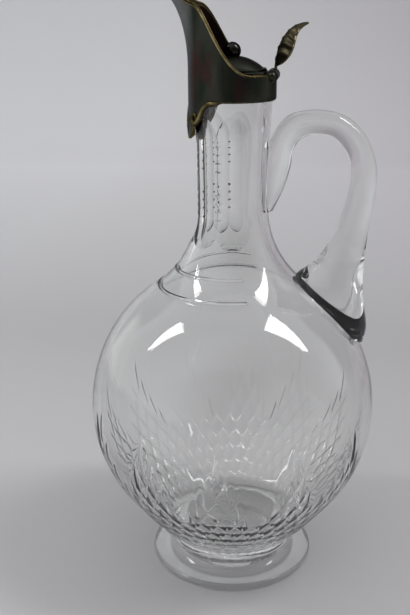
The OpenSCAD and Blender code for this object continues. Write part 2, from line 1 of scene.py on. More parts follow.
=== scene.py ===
# %% [markdown]
# # A cut-glass claret jug with a hinged metal mount
# The jug is a blown glass bowl and neck on an applied foot, with a drawn glass handle. A dark bronze
# mount is set on the neck in plaster: a collar, a beak to pour from, an apron under the beak, and a
# lid that a leaf under the thumb lifts. The construction comes in as a fixed frame of real solids.
# This lesson gives every surface its finish, and replaces the solids whose surface is cut, veined or
# drawn too finely for the frame. All places are in metres, in the frame's own axes: +Z up, the beak
# towards -X and the handle towards +X.

# %% The fixed frame
import math
import json
import bpy
import bmesh
import numpy as np
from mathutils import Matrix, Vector


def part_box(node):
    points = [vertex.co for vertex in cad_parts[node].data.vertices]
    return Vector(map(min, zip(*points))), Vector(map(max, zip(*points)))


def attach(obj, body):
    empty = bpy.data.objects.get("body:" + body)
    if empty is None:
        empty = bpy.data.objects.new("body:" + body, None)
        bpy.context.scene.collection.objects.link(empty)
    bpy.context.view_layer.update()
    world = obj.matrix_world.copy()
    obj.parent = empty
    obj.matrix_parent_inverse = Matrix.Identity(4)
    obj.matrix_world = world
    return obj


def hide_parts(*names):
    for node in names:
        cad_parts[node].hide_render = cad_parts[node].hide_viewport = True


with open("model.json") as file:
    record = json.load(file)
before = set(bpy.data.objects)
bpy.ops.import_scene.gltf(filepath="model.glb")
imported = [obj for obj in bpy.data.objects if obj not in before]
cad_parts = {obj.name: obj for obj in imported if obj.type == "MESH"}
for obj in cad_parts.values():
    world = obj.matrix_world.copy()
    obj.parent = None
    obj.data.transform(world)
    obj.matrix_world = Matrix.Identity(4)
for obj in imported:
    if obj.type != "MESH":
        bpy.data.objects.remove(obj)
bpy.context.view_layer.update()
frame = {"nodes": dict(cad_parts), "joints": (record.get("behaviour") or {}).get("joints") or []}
MM = 0.001

# %% [markdown]
# ## Sizes
# A few sizes drive everything. The ones that the frame can tell are read from the boxes of its nodes,
# and the others are the same real sizes that the construction uses.

# %% Sizes read from the frame, and the ones that it can't tell
BOWL_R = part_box("glass_body")[1].y
COLLAR_LOW, COLLAR_TOP = (corner.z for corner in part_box("collar"))
COLLAR_R = -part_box("collar")[0].x
APRON_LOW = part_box("apron")[0].z
FOOT_R, FOOT_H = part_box("glass_foot")[1].x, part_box("glass_foot")[1].z
GLASS_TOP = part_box("glass_body")[1].z
HINGE = Vector(frame["joints"][0]["pos_m"])
LID_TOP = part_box("lid_plate")[1].z
DOME_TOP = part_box("lid_dome")[1].z
DOME_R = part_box("lid_dome")[1].x
BEAD_R = COLLAR_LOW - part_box("collar_bead")[0].z

BOWL_Z, BOWL_RISE = 84.5 * MM, 72 * MM
SHOULDER_ANGLE, UNDERSIDE_ANGLE = math.radians(57), math.radians(36)
UNDERSIDE_R = 350 * MM
BOWL_WALL, NECK_WALL, FLOOR_T = 4 * MM, 3 * MM, 7 * MM
NECK_R, NECK_TOP_R, NECK_SEAT_R = 16.8 * MM, 18.4 * MM, 17.5 * MM
SHEET_T = 1.25 * MM
print("collar from", COLLAR_LOW, "to", COLLAR_TOP, "radius", COLLAR_R)

# %% [markdown]
# ## The camera
# The photograph was taken from about 40 cm away, near the height of the lid and looking down by some 18
# degrees, with the handle to the right. The camera was found by fitting the outline of the jug.

# %% The camera
CAMERA_AT = (42.4 * MM, -403.2 * MM, 269.3 * MM)
CAMERA_TILT, CAMERA_TURN, CAMERA_ROLL = 71.5, 7.864, -0.5
SENSOR_W, LENS = 36, 51.18
camera = bpy.data.objects.new("camera", bpy.data.cameras.new("camera"))
bpy.context.scene.collection.objects.link(camera)
camera.location = CAMERA_AT
camera.rotation_euler = (math.radians(CAMERA_TILT), 0, math.radians(CAMERA_TURN))
camera.rotation_euler.rotate_axis("Z", math.radians(CAMERA_ROLL))
camera.data.sensor_width = SENSOR_W
camera.data.lens = LENS
bpy.context.scene.camera = camera
print("camera at", tuple(round(v, 4) for v in camera.location))

# %% [markdown]
# ## Helpers
# Most pieces start as rings of points, joined by strips of faces. `mesh_piece` makes an object from
# points and faces, merges what coincides, points the faces outwards and marks edges that are sharper
# than an angle, so that curves shade smoothly and cuts stay crisp.

# %% Helpers for meshes
def new_object(name, mesh):
    piece = bpy.data.objects.new(name, mesh)
    bpy.context.scene.collection.objects.link(piece)
    return piece


def store(mesh, name, values):
    mesh.attributes.new(name, "FLOAT", "POINT").data.foreach_set("value", values)


def smooth_by_angle(mesh, degrees):
    mesh.polygons.foreach_set("use_smooth", [True] * len(mesh.polygons))
    mesh.set_sharp_from_angle(angle=math.radians(degrees))


def mesh_piece(name, points, faces, sharp=30, merge=2e-7):
    mesh = bpy.data.meshes.new(name)
    mesh.from_pydata([tuple(p) for p in points], [], faces)
    bm = bmesh.new()
    bm.from_mesh(mesh)
    bmesh.ops.remove_doubles(bm, verts=bm.verts, dist=merge)
    bmesh.ops.recalc_face_normals(bm, faces=bm.faces)
    bm.to_mesh(mesh)
    bm.free()
    smooth_by_angle(mesh, sharp)
    return new_object(name, mesh)


def loft(name, rings, sharp=30, caps=True):
    """A skin through rings of equal counts of points, with its two ends closed by fans."""
    count = len(rings[0])
    points = [p for ring in rings for p in ring]
    faces = [(i * count + j, i * count + (j + 1) % count, (i + 1) * count + (j + 1) % count,
              (i + 1) * count + j) for i in range(len(rings) - 1) for j in range(count)]
    for ring_at in ((0, len(rings) - 1) if caps else ()):
        points.append(np.mean([list(p) for p in rings[ring_at]], axis=0))
        faces += [(ring_at * count + j, ring_at * count + (j + 1) % count, len(points) - 1)
                  for j in range(count)]
    return mesh_piece(name, points, faces, sharp)


def lathe(name, profile, columns=96, sharp=30):
    """A solid turned from a closed outline of (radius, height) points that starts and ends on the axis."""
    rings = [[(r * math.cos(a), r * math.sin(a), z) for a in
              (2 * math.pi * k / columns for k in range(columns))] for r, z in profile]
    return loft(name, rings, sharp, caps=False)


def clamped(value):
    return min(max(value, 0), 1)


def arc(centre, radius, start, end, steps):
    """Points of an arc in a plane, with its angles in radians."""
    return [(centre[0] + radius * math.cos(start + (end - start) * i / steps),
             centre[1] + radius * math.sin(start + (end - start) * i / steps)) for i in range(steps + 1)]


# %% [markdown]
# ## The glass: its turned form
# Bowl, neck, foot and handle are one piece of glass, because foot and handle are fused on while hot.
# Glass also renders rightly only where there is one skin between it and the air: two solids that touch
# would show a mirror between them. So one crystal piece stands for the three glass solids. Its outline
# is the frame's: an arc under the widest ring, part of an ellipse above it, an arc in the shoulder and
# a neck that opens a little towards the collar.

# %% The outside of bowl and neck as a radius at each height
def on_ellipse(angle):
    return BOWL_R * math.cos(angle), BOWL_Z + BOWL_RISE * math.sin(angle)


SHOULDER_PT = on_ellipse(SHOULDER_ANGLE)
SHOULDER_SLOPE = math.atan(BOWL_R / BOWL_RISE * math.tan(SHOULDER_ANGLE))
SHOULDER_R = (SHOULDER_PT[0] - NECK_R) / (1 - math.cos(SHOULDER_SLOPE))
SHOULDER_C = (NECK_R + SHOULDER_R, SHOULDER_PT[1] + SHOULDER_R * math.sin(SHOULDER_SLOPE))
UNDERSIDE_C = ((BOWL_R - UNDERSIDE_R) * math.cos(UNDERSIDE_ANGLE),
               BOWL_Z + (UNDERSIDE_R - BOWL_R) * math.sin(UNDERSIDE_ANGLE))
UNDERSIDE_TOP = BOWL_Z - BOWL_R * math.sin(UNDERSIDE_ANGLE)


def outside_r(z):
    if z < UNDERSIDE_TOP:
        return UNDERSIDE_C[0] + math.sqrt(UNDERSIDE_R ** 2 - (z - UNDERSIDE_C[1]) ** 2)
    if z < BOWL_Z:
        return math.sqrt(BOWL_R ** 2 - (z - BOWL_Z) ** 2)
    if z < SHOULDER_PT[1]:
        return BOWL_R * math.sqrt(1 - ((z - BOWL_Z) / BOWL_RISE) ** 2)
    if z < SHOULDER_C[1]:
        return SHOULDER_C[0] - math.sqrt(SHOULDER_R ** 2 - (z - SHOULDER_C[1]) ** 2)
    return NECK_R + (NECK_TOP_R - NECK_R) * ((z - SHOULDER_C[1]) / (COLLAR_LOW - SHOULDER_C[1])) ** 2


def outside_points(low, high, count):
    return [(outside_r(z), z) for z in np.linspace(low, high, count)]


def outside_slope(z, step=1e-5):
    """Outward direction of the skin at a height, as its parts along the radius and the height."""
    run = outside_r(z + step) - outside_r(z - step)
    length = math.hypot(run, 2 * step)
    return 2 * step / length, -run / length


print("neck radius", outside_r(0.2), "bowl radius", outside_r(BOWL_Z))

# %% The inside of the bowl, and the foot with its polished hollow
floor_z = FOOT_H + FLOOR_T
CORNER_R = 14 * MM
corner_reach = UNDERSIDE_R - BOWL_WALL - CORNER_R
corner_angle = math.asin((UNDERSIDE_C[1] - floor_z - CORNER_R) / corner_reach)
corner_c = (UNDERSIDE_C[0] + corner_reach * math.cos(corner_angle),
            UNDERSIDE_C[1] - corner_reach * math.sin(corner_angle))


def inside_outline():
    shoulder_wall = (BOWL_WALL + NECK_WALL) / 2
    points = [(0, floor_z)]
    points += arc(corner_c, CORNER_R, -math.pi / 2, -corner_angle, 10)
    points += arc(UNDERSIDE_C, UNDERSIDE_R - BOWL_WALL, -corner_angle + 0.008, -UNDERSIDE_ANGLE, 5)
    points += arc((0, BOWL_Z), BOWL_R - BOWL_WALL, -UNDERSIDE_ANGLE + 0.06, 0, 12)
    for i in range(1, 21):
        t = SHOULDER_ANGLE * i / 20
        wall = BOWL_WALL + (shoulder_wall - BOWL_WALL) * i / 20
        across = Vector((math.cos(t) / BOWL_R, math.sin(t) / BOWL_RISE)).normalized() * wall
        r, z = on_ellipse(t)
        points.append((r - across.x, z - across.y))
    for i in range(1, 21):
        a = math.pi + SHOULDER_SLOPE * (1 - i / 20)
        wall = shoulder_wall + (NECK_WALL - shoulder_wall) * i / 20
        points.append((SHOULDER_C[0] + (SHOULDER_R + wall) * math.cos(a),
                       SHOULDER_C[1] + (SHOULDER_R + wall) * math.sin(a)))
    points.append((NECK_SEAT_R - NECK_WALL, GLASS_TOP))
    return points


FOOT_RIM_T, WAIST_R = 3.6 * MM, 29.8 * MM
HOLLOW_R, HOLLOW_H = 21 * MM, 1.4 * MM


def foot_outline():
    """From the middle of the hollow, out over the rim and up the sweep to the waist."""
    ball = (HOLLOW_R ** 2 + HOLLOW_H ** 2) / (2 * HOLLOW_H)
    spread = math.asin(HOLLOW_R / ball)
    rim_c = (FOOT_R - FOOT_RIM_T / 2, FOOT_RIM_T / 2)
    sweep = (rim_c[0] - WAIST_R, FOOT_H - FOOT_RIM_T)
    points = [(ball * math.sin(spread * i / 8), HOLLOW_H - ball * (1 - math.cos(spread * i / 8)))
              for i in range(9)]
    points += arc(rim_c, FOOT_RIM_T / 2, -math.pi / 2, math.radians(80), 14)
    points += [(rim_c[0] - sweep[0] * math.sin(t), FOOT_H - sweep[1] * math.cos(t))
               for t in (math.pi / 2 * i / 16 for i in range(1, 17))]
    return points


print("floor of the bowl at", floor_z, "corner at", corner_c)

# %% [markdown]
# ## The glass: the cut band
# The lower bowl is cut with rows of hollow scales. Each row stands between the scales of the row above,
# and the top rows thin out until single spears are left, twelve of them round the bowl. A cutter does
# this with a wheel, scale by scale. Bump can't show it, because glass bends light by its real surface,
# so each scale is modelled: a six-sided rim on the bowl's own surface, and a hollow inside it. A column
# is half a scale wide, 96 of them go round, and the pattern repeats every eight.

# %% The rows of scales
COLUMNS = 96
MOTIF = 8
SPLIT = 4
ROW_TIPS = [v * MM for v in (90, 77, 66.5, 57, 48.5, 41, 34, 27.5, 21.5, 16)]
VALLEYS = [v * MM for v in (12, 10, 8.5, 6.5, 5, 3.8, 2.8, 2.2, 1.8, 1.4)]
HOLLOWS = (0.1, 0.1, 0.11, 0.13, 0.15, 0.17, 0.19, 0.2, 0.2)
RING_SHARES = (0.82, 0.6, 0.38, 0.17)


def has_scale(row, column):
    place = abs((column + MOTIF // 2) % MOTIF - MOTIF // 2)
    return 0 <= place <= row and (place + row) % 2 == 0


def edge(a, b, pieces):
    """Points from a up to, but without, b."""
    return [(a[0] + (b[0] - a[0]) * i / pieces, a[1] + (b[1] - a[1]) * i / pieces) for i in range(pieces)]


def scale_rim(row, m):
    """The rim of one scale, anticlockwise from its foot, as (column, height) points."""
    top, valley = ROW_TIPS[row], ROW_TIPS[row] - VALLEYS[row]
    low_top, low_valley = ROW_TIPS[row + 1], ROW_TIPS[row + 1] - VALLEYS[row + 1]
    cut = (low_top + low_valley) / 2
    rim = []
    for side in (1, -1):
        full = row > MOTIF // 2 or has_scale(row - 1, m + side)
        if full:
            half = edge((m, low_valley), (m + side, low_top), SPLIT)
            if valley - low_top > 1e-6:
                half += edge((m + side, low_top), (m + side, valley), 2)
            half += edge((m + side, valley), (m, top), SPLIT)
        else:
            half = edge((m, low_valley), (m + side / 2, cut), SPLIT // 2)
            half += edge((m + side / 2, cut), (m, top), SPLIT // 2)
        half.append((m, top))
        rim += half[:-1] if side == 1 else half[:0:-1]
    return rim


class Skin:
    """Collects points of the bowl's surface once each, and faces between them."""

    def __init__(self):
        self.points, self.faces, self.known = [], [], {}

    def at(self, column, z, depth=0.0):
        key = (round(column * 64) % (COLUMNS * 64), round(z * 1e8), round(depth * 1e8))
        if key not in self.known:
            across, up = outside_slope(z)
            r, angle = outside_r(z) - depth * across, math.pi - 2 * math.pi * column / COLUMNS
            self.known[key] = len(self.points)
            self.points.append((r * math.cos(angle), r * math.sin(angle), z - depth * up))
        return self.known[key]

    def ring(self, r, z, count):
        start = len(self.points)
        angles = [math.pi - 2 * math.pi * k / count for k in range(count)]
        self.points += [(r * math.cos(a), r * math.sin(a), z) for a in angles]
        return list(range(start, start + count))

    def strip(self, low, high):
        count = len(low)
        self.faces += [(low[k], low[(k + 1) % count], high[(k + 1) % count], high[k]) for k in range(count)]

    def halving_strip(self, fine, coarse):
        for k in range(len(coarse)):
            a, b, c = fine[2 * k], fine[2 * k + 1], fine[(2 * k + 2) % len(fine)]
            d, e = coarse[k], coarse[(k + 1) % len(coarse)]
            self.faces += [(a, b, d), (b, e, d), (b, c, e)]


def add_scale(skin, row, m):
    rim = scale_rim(row, m)
    middle = (m, (ROW_TIPS[row] + ROW_TIPS[row + 1] - VALLEYS[row + 1]) / 2)
    depth = HOLLOWS[row] * outside_r(middle[1]) * 2 * math.pi / COLUMNS
    rings = [[skin.at(u, z) for u, z in rim]]
    for share in RING_SHARES:
        rings.append([skin.at(m + (u - m) * share, middle[1] + (z - middle[1]) * share,
                              depth * (1 - share ** 2)) for u, z in rim])
    for outer, inner in zip(rings, rings[1:]):
        skin.strip(outer, inner)
    centre = skin.at(m, middle[1], depth)
    last = rings[-1]
    skin.faces += [(last[k], last[(k + 1) % len(last)], centre) for k in range(len(last))]


def outline_top(u):
    """Height of the cut band's upper outline at a column: tips, with notches halfway between them."""
    place = abs((u + MOTIF / 2) % MOTIF - MOTIF / 2)
    half_steps = np.arange(MOTIF + 1) / 2
    heights = [ROW_TIPS[math.ceil(h)] - (VALLEYS[math.ceil(h)] / 2 if h % 1 else 0) for h in half_steps]
    return float(np.interp(place, half_steps, heights))


def outline_bottom(u):
    last = len(ROW_TIPS) - 1
    tip_is_here = (math.floor(u) + last) % 2 == 0
    t = u - math.floor(u)
    share = t if tip_is_here else 1 - t
    return ROW_TIPS[last] - VALLEYS[last] * share


# %% The turned and cut skin of the glass, without its handle
FINE = COLUMNS * SPLIT
PLAIN_COLUMNS = FINE // 2
BAND_TOP, BAND_BOTTOM = 94 * MM, 13.2 * MM
PLAIN_FROM = BAND_TOP + 1 * MM
EASING_STRIPS = 14
SEAT_GAP = 0.05 * MM


def turned_glass():
    skin = Skin()
    scales = 0
    for row in range(len(ROW_TIPS) - 1):
        for m in range(COLUMNS):
            if has_scale(row, m):
                add_scale(skin, row, m)
                scales += 1
    tips = [outline_top(k / SPLIT) for k in range(FINE)]
    upper = [skin.at(k / SPLIT, z) for k, z in enumerate(tips)]
    lower = [skin.at(k / SPLIT, outline_bottom(k / SPLIT)) for k in range(FINE)]
    for share in np.linspace(0, 1, EASING_STRIPS + 1)[1:]:
        next_up = [skin.at(k / SPLIT, z + (BAND_TOP - z) * share) for k, z in enumerate(tips)]
        skin.strip(upper, next_up)
        upper = next_up
    skin.halving_strip(upper, skin.ring(outside_r(PLAIN_FROM), PLAIN_FROM, PLAIN_COLUMNS))
    skin.halving_strip(lower, skin.ring(outside_r(BAND_BOTTOM), BAND_BOTTOM, PLAIN_COLUMNS))
    above = outside_points(PLAIN_FROM, SHOULDER_PT[1], 20)
    above += outside_points(SHOULDER_PT[1], SHOULDER_C[1], 26)[1:]
    above += outside_points(SHOULDER_C[1], COLLAR_LOW, 16)[1:]
    seat_r = NECK_SEAT_R - SEAT_GAP
    above += [(seat_r, COLLAR_LOW + SHEET_T), (seat_r, GLASS_TOP)]
    above += inside_outline()[::-1]
    below = outside_points(BAND_BOTTOM, FOOT_H, 4) + foot_outline()[::-1]
    for outline in (above, below):
        rings = [skin.ring(max(r, 1e-9), z, PLAIN_COLUMNS) for r, z in outline]
        for low, high in zip(rings, rings[1:]):
            skin.strip(low, high)
    print("scales cut:", scales)
    return mesh_piece("crystal", skin.points, skin.faces, sharp=14, merge=1e-6)


crystal = turned_glass()
print("turned glass:", len(crystal.data.polygons), "faces")

# %% [markdown]
# ## The glass: panels, notches and rings
# The neck is ground with five flat panels round its front. They meet in four ridges, and a wheel with a
# sharp edge nicks each ridge eight times. Two rings are cut round the shoulder under the panels. These
# are real cuts, so they are made as a cutter makes them, with the wheel's own shape as the tool: a
# Boolean modifier takes each tool away from the glass. The nicks repeat, so Geometry Nodes place one
# small wheel on each of their points.

# %% Cutting with a tool
def keep_result(piece):
    """Turns what a piece's modifiers make into its own plain mesh."""
    bpy.context.view_layer.update()
    graph = bpy.context.evaluated_depsgraph_get()
    result = bpy.data.meshes.new_from_object(piece.evaluated_get(graph))
    piece.modifiers.clear()
    piece.data = result


def cut(piece, tool, operation="DIFFERENCE"):
    modifier = piece.modifiers.new("cut", "BOOLEAN")
    modifier.object = tool
    modifier.operation = operation
    modifier.solver = "MANIFOLD"
    keep_result(piece)
    bpy.data.objects.remove(tool)


PANELS = 5
PANEL_ANGLE = math.radians(48.4)
PANEL_LOW, PANEL_HIGH = 180 * MM, 210 * MM
PANEL_TOP_R, PANEL_BOTTOM_R = 55 * MM, 20 * MM
PANEL_HALF_W = 25 * MM


def turned_about_z(points, angle):
    c, s = math.cos(angle), math.sin(angle)
    return [(c * x - s * y, s * x + c * y, z) for x, y, z in points]


def panel_tool(angle):
    """The side view of the grinding wheel's path, made wider than the neck and turned to its panel."""
    flat_x = -NECK_R * math.cos(PANEL_ANGLE / 2)
    side = arc((flat_x - PANEL_BOTTOM_R, PANEL_LOW), PANEL_BOTTOM_R, -math.radians(88), 0, 18)
    side += arc((flat_x - PANEL_TOP_R, PANEL_HIGH), PANEL_TOP_R, 0, math.radians(50), 24)
    side += [(flat_x - PANEL_TOP_R, side[-1][1]), (flat_x - PANEL_TOP_R, side[0][1])]
    rings = [turned_about_z([(x, y, z) for x, z in side], angle) for y in (-PANEL_HALF_W, PANEL_HALF_W)]
    return loft("panel_tool", rings)


for number in range(PANELS):
    cut(crystal, panel_tool((number - (PANELS - 1) / 2) * PANEL_ANGLE))
print("after the panels:", len(crystal.data.polygons), "faces")

# %% Rings on the shoulder
RING_ANGLES = [math.radians(52), math.radians(38)]
RING_WHEEL_R = 0.9 * MM
RING_REACH = math.radians(107)


def ring_tool(slope_angle):
    r = SHOULDER_C[0] - SHOULDER_R * math.cos(slope_angle)
    z = SHOULDER_C[1] - SHOULDER_R * math.sin(slope_angle)
    section = arc((r, z), RING_WHEEL_R, 0, 2 * math.pi, 16)[:-1]
    rings = [[(x * math.cos(turn), x * math.sin(turn), y) for x, y in section]
             for turn in np.linspace(math.pi - RING_REACH, math.pi + RING_REACH, 120)]
    return loft("ring_tool", rings)


for slope_angle in RING_ANGLES:
    cut(crystal, ring_tool(slope_angle))
print("after the rings:", len(crystal.data.polygons), "faces")

# %% Geometry Nodes that place one wheel at every nick
def calculate(tree, operation, *values):
    """One arithmetic node of a tree: each value is a number or another node's output."""
    node = tree.nodes.new("ShaderNodeMath")
    node.operation = operation
    for socket, value in zip(node.inputs, values):
        if isinstance(value, (int, float)):
            socket.default_value = value
        else:
            tree.links.new(value, socket)
    return node.outputs[0]


def node_group(name, inputs):
    """An empty tree with a geometry in, a geometry out, and named inputs between."""
    tree = bpy.data.node_groups.new(name, "GeometryNodeTree")
    tree.interface.new_socket("Geometry", in_out="INPUT", socket_type="NodeSocketGeometry")
    for label, kind in inputs:
        tree.interface.new_socket(label, in_out="INPUT", socket_type="NodeSocket" + kind)
    tree.interface.new_socket("Geometry", in_out="OUTPUT", socket_type="NodeSocketGeometry")
    return tree, tree.nodes.new("NodeGroupInput"), tree.nodes.new("NodeGroupOutput")


def add_node(tree, kind, **links):
    """A node of a tree, with outputs or values put into its named inputs."""
    node = tree.nodes.new(kind)
    for label, value in links.items():
        socket = node.inputs[label.replace("_", " ")]
        if isinstance(value, bpy.types.NodeSocket):
            tree.links.new(value, socket)
        else:
            socket.default_value = value
    return node


def finish_tree(tree, geometry, finish, result):
    """Every tree ends in plain geometry with its material set."""
    real = add_node(tree, "GeometryNodeRealizeInstances", Geometry=geometry)
    dressed = add_node(tree, "GeometryNodeSetMaterial", Geometry=real.outputs[0], Material=finish)
    tree.links.new(dressed.outputs[0], result.inputs[0])


def grown(piece, tree, **values):
    """Runs a tree on a piece with its named inputs set, and keeps the result as a plain mesh."""
    modifier = piece.modifiers.new("nodes", "NODES")
    modifier.node_group = tree
    for item in tree.interface.items_tree:
        if item.in_out == "INPUT" and item.name in values:
            modifier[item.identifier] = values[item.name]
    keep_result(piece)
    return piece


NICKS, NICK_PITCH, NICK_GAP, NICK_TOP = 8, 3.75 * MM, 7.05 * MM, 213.6 * MM


def nick_tree():
    """Wheels in two groups of four on each ridge between two panels."""
    tree, given, result = node_group("nicks", [("Pitch", "Float"), ("Gap", "Float"), ("Top", "Float"),
                                               ("Reach", "Float"), ("Finish", "Material")])

    def work(operation, *values):
        return calculate(tree, operation, *values)

    index = tree.nodes.new("GeometryNodeInputIndex").outputs[0]
    ridge = work("FLOOR", work("DIVIDE", index, NICKS))
    place = work("SUBTRACT", index, work("MULTIPLY", ridge, NICKS))
    lower_group = work("GREATER_THAN", place, NICKS / 2 - 0.5)
    fallen = work("ADD", work("MULTIPLY", place, given.outputs["Pitch"]),
                  work("MULTIPLY", lower_group, given.outputs["Gap"]))
    z = work("SUBTRACT", given.outputs["Top"], fallen)
    rise = work("POWER", work("MAXIMUM", work("SUBTRACT", z, SHOULDER_C[1]), 0.0), 2.0)
    flare = (NECK_TOP_R - NECK_R) / (COLLAR_LOW - SHOULDER_C[1]) ** 2
    r = work("ADD", given.outputs["Reach"], work("MULTIPLY", rise, flare))
    turn = work("MULTIPLY_ADD", ridge, PANEL_ANGLE, math.pi - PANEL_ANGLE * (PANELS / 2 - 1))
    where = tree.nodes.new("ShaderNodeCombineXYZ")
    x, y = (work("MULTIPLY", r, work(part, turn)) for part in ("COSINE", "SINE"))
    for socket, value in zip(where.inputs, (x, y, z)):
        tree.links.new(value, socket)
    points = add_node(tree, "GeometryNodePoints", Count=NICKS * (PANELS - 1), Position=where.outputs[0])
    wheels = add_node(tree, "GeometryNodeInstanceOnPoints", Points=points.outputs[0],
                      Instance=given.outputs["Geometry"])
    finish_tree(tree, wheels.outputs[0], given.outputs["Finish"], result)
    return tree


NICK_R, NICK_HALF_T, NICK_EDGE, NICK_DEPTH = 8 * MM, 0.9 * MM, 1.5 * MM, 1.15 * MM
wheel_profile = [(1e-9, -NICK_HALF_T), (NICK_R - NICK_EDGE, -NICK_HALF_T), (NICK_R, 0),
                 (NICK_R - NICK_EDGE, NICK_HALF_T), (1e-9, NICK_HALF_T)]
nicks = grown(lathe("nicks", wheel_profile, 40), nick_tree(), Pitch=NICK_PITCH, Gap=NICK_GAP,
              Top=NICK_TOP, Reach=NECK_R + NICK_R - NICK_DEPTH)
cut(crystal, nicks)
print("after the nicks:", len(crystal.data.polygons), "faces")

# %% [markdown]
# ## The handle
# The handle is a rod of hot glass, pressed on the neck, bent over and drawn out wide on the shoulder.
# It is a loft through listed stations, with a smooth curve through them, and it is united with the
# bowl, so that light passes from one to the other as in the fused piece.

# %% The handle's stations: x and z outside, x and z inside, and its half width from rod and root
ROD_R, ROOT_W = 5.6 * MM, 13 * MM
HANDLE = np.array([
    [14.5, 180.5, 19, 182.2, 0.3, 0],
    [14, 192, 24, 192.5, 0.85, 0],
    [14.6, 204, 27, 203, 1.05, 0],
    [18.4, 217, 28.2, 210.6, 1.03, 0],
    [25.5, 226, 32, 215.8, 1, 0],
    [38, 228.7, 38.8, 217.7, 1, 0],
    [51, 226, 46.4, 216.2, 1, 0],
    [61, 216.6, 52.6, 209, 1, 0],
    [66, 203, 54.4, 200.5, 1.02, 0.02],
    [65.8, 188, 53, 188.6, 1.02, 0.08],
    [63.6, 172, 47.6, 172.4, 0.9, 0.25],
    [62.4, 156, 41.5, 161.4, 0.55, 0.55],
    [63, 141, 36, 155.8, 0.2, 0.87],
    [65, 127, 31.5, 152.6, 0, 1],
    [63.5, 119, 27.5, 146, 0, 1.02]])


def between(table, u):
    """Value between the rows of a table, on a smooth curve through them."""
    k = min(int(u), len(table) - 2)
    t = u - k
    p0, p1, p2, p3 = (table[min(max(k + i, 0), len(table) - 1)] for i in (-1, 0, 1, 2))
    return 0.5 * (2 * p1 + t * (p2 - p0) + t * t * (2 * p0 - 5 * p1 + 4 * p2 - p3)
                  + t * t * t * (3 * p1 - p0 - 3 * p2 + p3))


def handle_rings(steps, sides):
    rings = []
    for u in np.linspace(0, len(HANDLE) - 1, steps):
        x0, z0, x1, z1, rod, root = between(HANDLE, u)
        centre, half = ((x0 + x1) / 2, (z0 + z1) / 2), ((x0 - x1) / 2, (z0 - z1) / 2)
        width = rod * ROD_R + root * ROOT_W
        rings.append([((centre[0] + half[0] * math.cos(a)) * MM, width * math.sin(a),
                       (centre[1] + half[1] * math.cos(a)) * MM)
                      for a in (2 * math.pi * (j + 0.5) / sides for j in range(sides))])
    return rings


def outside_plug():
    """The glass's own outside, drawn in a little, so that no handle is left inside the bowl."""
    heights = np.linspace(FOOT_H, COLLAR_LOW, 120)
    inset = 1 * MM
    outline = [(1e-9, heights[0])] + [(outside_r(z) - inset, z) for z in heights] + [(1e-9, heights[-1])]
    return lathe("plug", outline, 96)


handle = loft("handle", handle_rings(150, 44), sharp=40)
cut(handle, outside_plug())
cut(crystal, handle, "UNION")
smooth_by_angle(crystal.data, 14)
print("glass with its handle:", len(crystal.data.polygons), "faces")

# %% [markdown]
# ## Clear crystal
# Lead crystal is nearly colourless and a little grey through thick walls. Its skin was melted or polished
# smooth, so it has no roughness, and what it shows comes from its shape and the room.

# %% Clear crystal
def material(name, values):
    """A new material with constants put straight on its shader, its tree and the shader's inputs."""
    made = bpy.data.materials.new(name)
    made.use_nodes = True
    sockets = made.node_tree.nodes["Principled BSDF"].inputs
    for label, value in values.items():
        sockets[label].default_value = value
    return made, made.node_tree, sockets


crystal_glass = material("crystal_glass", {"Base Color": (0.95, 0.955, 0.945, 1), "Roughness": 0,
                                           "IOR": 1.52, "Transmission Weight": 1})[0]
crystal.data.materials.clear()
crystal.data.materials.append(crystal_glass)
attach(crystal, "jug")
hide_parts("glass_body", "glass_foot", "glass_handle")

# %% [markdown]
# ## The mount's metals
# The mount is bronze under a patina that has turned green-black, with reddish and brown clouds that run
# down it. Where hands and cloths rub it, on the rim, the mouldings and every sharp edge, brass-coloured
# metal shows through. One rule makes four finishes: patina, a dark polish, worn brass and the bronze of the
# thumb leaf. They read a `wear` value stored on each piece's points: the angle of its edges, and on the
# sheet and the wire also its place. The sheet's inside is darkened with painted shade, and the beak's front
# is painted a pale bluish grey as a painted sheen.

# %% Bronze and brass, with their clouds, pits and worn edges
def stored(tree, name):
    """A value that the mesh keeps on its points."""
    node = tree.nodes.new("ShaderNodeAttribute")
    node.attribute_name = name
    return node.outputs["Fac"]


def noise(tree, scale, stretch=(1, 1, 1), detail=4.0):
    """Noise in the object's own space, drawn out along an axis by a stretch below one."""
    place = tree.nodes.new("ShaderNodeTexCoord").outputs["Object"]
    mapped = add_node(tree, "ShaderNodeMapping", Vector=place, Scale=stretch)
    return add_node(tree, "ShaderNodeTexNoise", Vector=mapped.outputs[0], Scale=scale,
                    Detail=detail).outputs["Fac"]


def ramp(tree, value, low, high, start=0.0, end=1.0):
    node = add_node(tree, "ShaderNodeMapRange", Value=value)
    for socket, number in zip(node.inputs[1:5], (low, high, start, end)):
        socket.default_value = number
    return node.outputs[0]


def mix(tree, share, a, b):
    """A colour between two, each a colour or another node's output."""
    node = tree.nodes.new("ShaderNodeMix")
    node.data_type = "RGBA"
    tree.links.new(share, node.inputs[0])
    for socket, value in zip(node.inputs[6:8], (a, b)):
        if isinstance(value, bpy.types.NodeSocket):
            tree.links.new(value, socket)
        else:
            socket.default_value = (*value, 1)
    return node.outputs[2]


# The first colour is painted shade: a near-black red for the sheet's inside.
# The second colour is a painted sheen: a pale bluish grey for the front of the beak.
INSIDE_SHADE_COLOUR, PAINTED_SHEEN_COLOUR = (0.012, 0.006, 0.006), (0.3, 0.32, 0.32)


